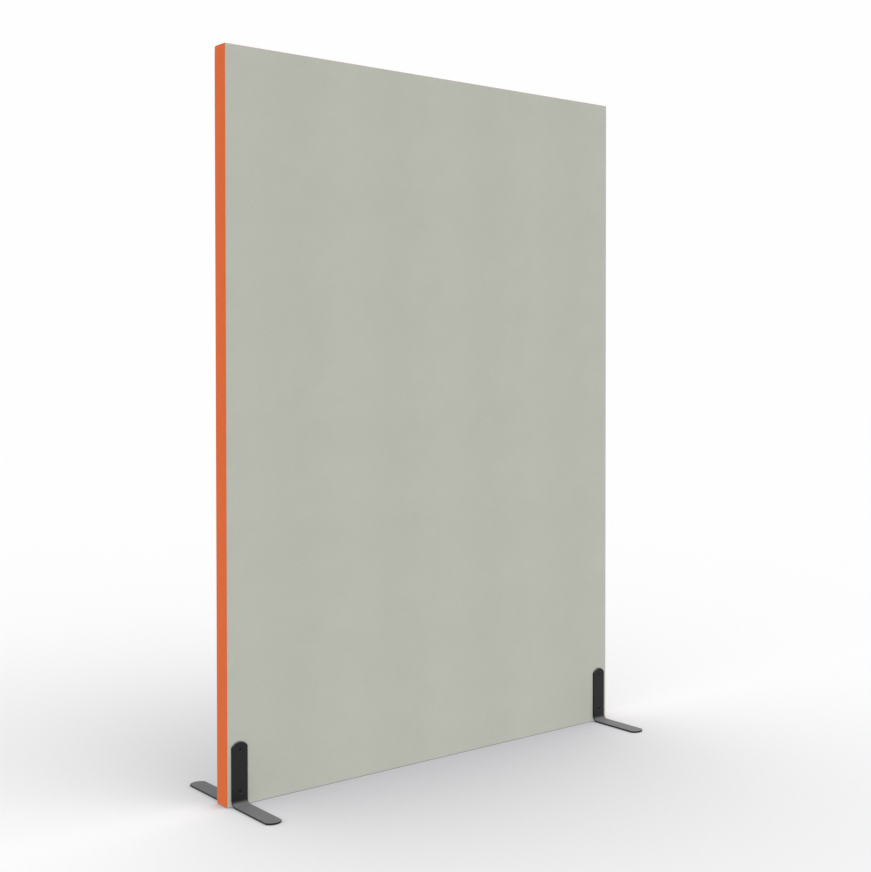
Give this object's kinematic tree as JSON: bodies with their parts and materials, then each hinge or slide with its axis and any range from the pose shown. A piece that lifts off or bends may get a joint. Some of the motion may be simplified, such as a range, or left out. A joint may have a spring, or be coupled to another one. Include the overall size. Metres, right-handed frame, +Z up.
{
  "type": "acoustic divider screen",
  "caption": "Tall flat free-standing acoustic screen: fabric-covered absorbing panel with a contrasting edge band, standing on bent flat-bar steel feet.",
  "frame": {"origin": "on the floor, in the middle of the width and of the depth", "axes": "+Z up, X along the width of the panel, the front face looks towards -Y"},
  "size_m": [1.2, 0.36, 1.7],
  "materials": {
    "frame_timber": "matte",
    "dowel_timber": "matte",
    "absorber": "matte",
    "padding": "matte",
    "grey_fabric": "matte",
    "orange_fabric": "matte",
    "closing_fabric": "matte",
    "zinc_steel": "satin",
    "black_powder_coat": "satin",
    "black_screw_steel": "satin",
    "glide_rubber": "matte",
    "insert_brass": "satin"
  },
  "bodies": {
    "root": {"frame_left_stile": "frame_timber", "frame_right_stile": "frame_timber", "frame_top_rail": "frame_timber", "frame_mid_rail": "frame_timber", "frame_bottom_rail": "frame_timber", "top_rail_dowels": "dowel_timber", "mid_rail_dowels": "dowel_timber", "bottom_rail_dowels": "dowel_timber", "core_upper": "absorber", "core_lower": "absorber", "front_padding": "padding", "rear_padding": "padding", "edge_padding": "padding", "front_cover": "grey_fabric", "rear_cover": "grey_fabric", "edge_band_left": "orange_fabric", "edge_band_top": "orange_fabric", "edge_band_right": "orange_fabric", "bottom_staples": "zinc_steel", "bottom_closing_strip": "closing_fabric", "foot_front_left": "black_powder_coat", "foot_front_right": "black_powder_coat", "foot_rear_left": "black_powder_coat", "foot_rear_right": "black_powder_coat", "glide_front_left": "glide_rubber", "glide_front_right": "glide_rubber", "glide_rear_left": "glide_rubber", "glide_rear_right": "glide_rubber", "screws_front_left": "black_screw_steel", "screws_front_right": "black_screw_steel", "screws_rear_left": "black_screw_steel", "screws_rear_right": "black_screw_steel", "inserts_front_left": "insert_brass", "inserts_front_right": "insert_brass", "inserts_rear_left": "insert_brass", "inserts_rear_right": "insert_brass"}
  },
  "joints": []
}
